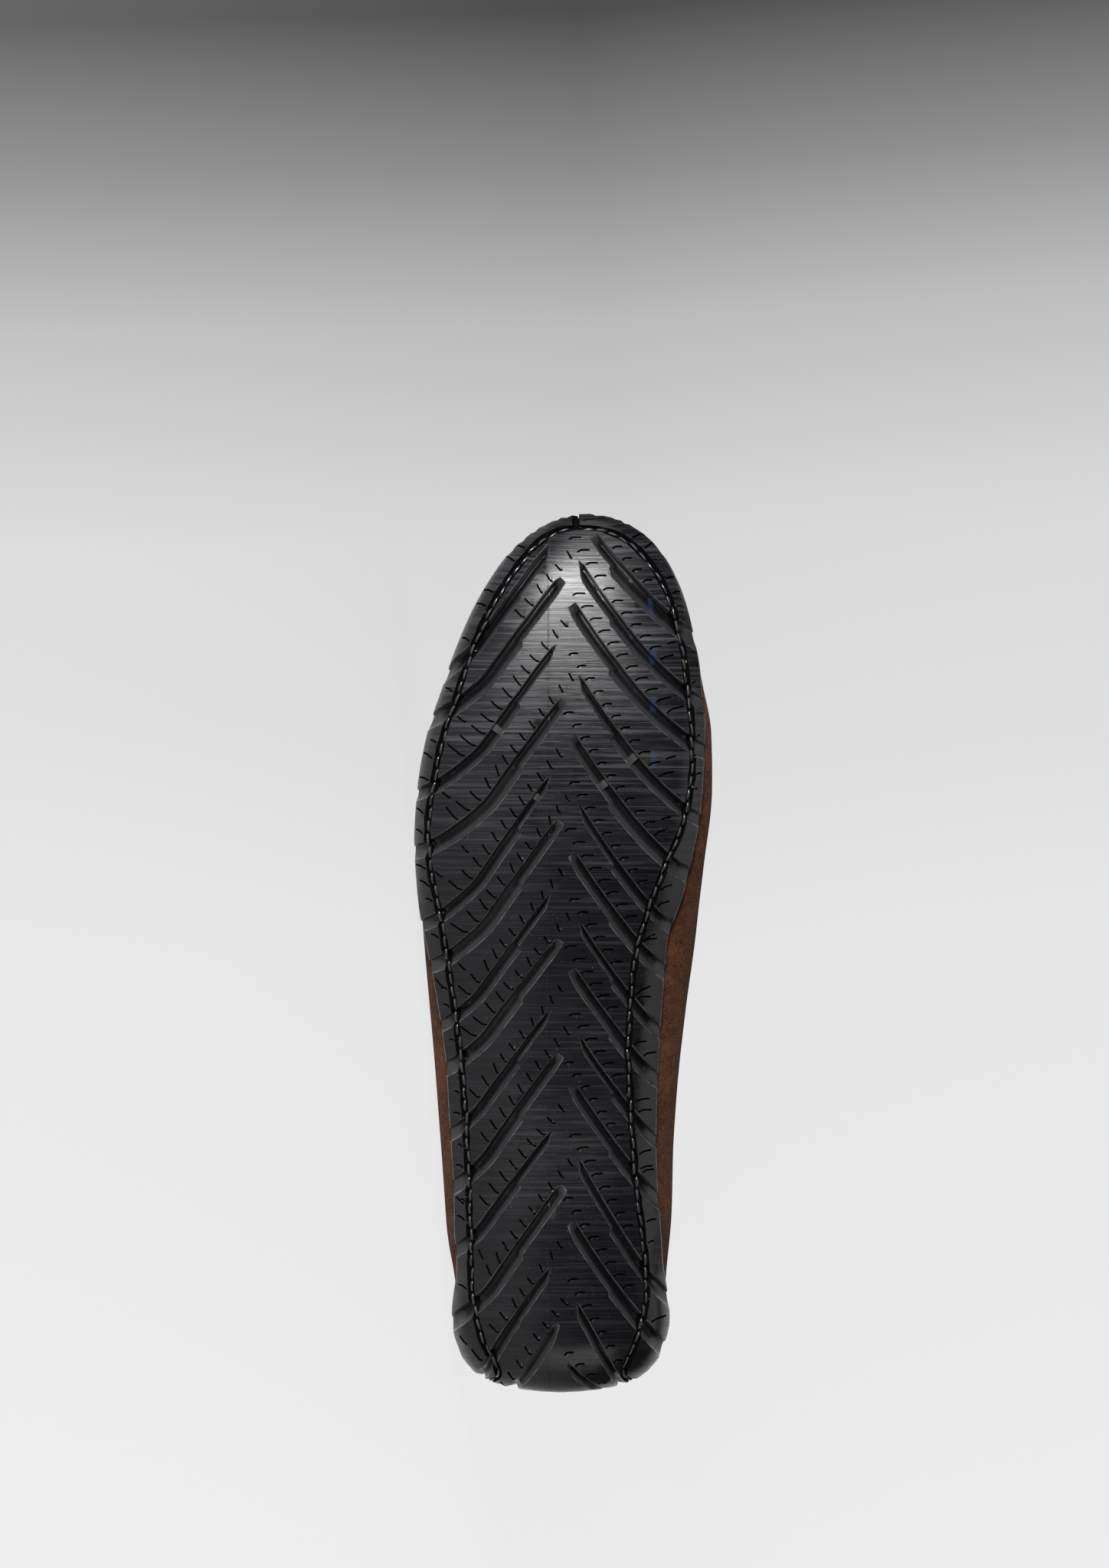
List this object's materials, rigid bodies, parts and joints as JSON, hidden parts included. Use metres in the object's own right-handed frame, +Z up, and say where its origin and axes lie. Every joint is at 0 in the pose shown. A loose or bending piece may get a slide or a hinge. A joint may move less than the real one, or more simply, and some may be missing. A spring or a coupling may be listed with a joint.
{
  "type": "driving moccasin",
  "caption": "Right driving moccasin in brown suede with a raised apron and a full black tread outsole wrapping heel and toe, lying on its lateral side.",
  "frame": {"origin": "centre of the shoe's box on the floor that it lies on", "axes": "+Z up from the floor towards the medial side, -Y the way the tread faces, -X towards the toe"},
  "size_m": [0.2872, 0.0804, 0.1001],
  "materials": {
    "tread_rubber": "moulded black rubber, satin, finely scuffed",
    "suede": "brown suede with a short nap",
    "lining_leather": "smooth tan lining leather"
  },
  "bodies": {
    "root": {"outsole": "tread_rubber", "upper": "suede", "apron": "suede", "insole": "lining_leather"}
  },
  "joints": []
}
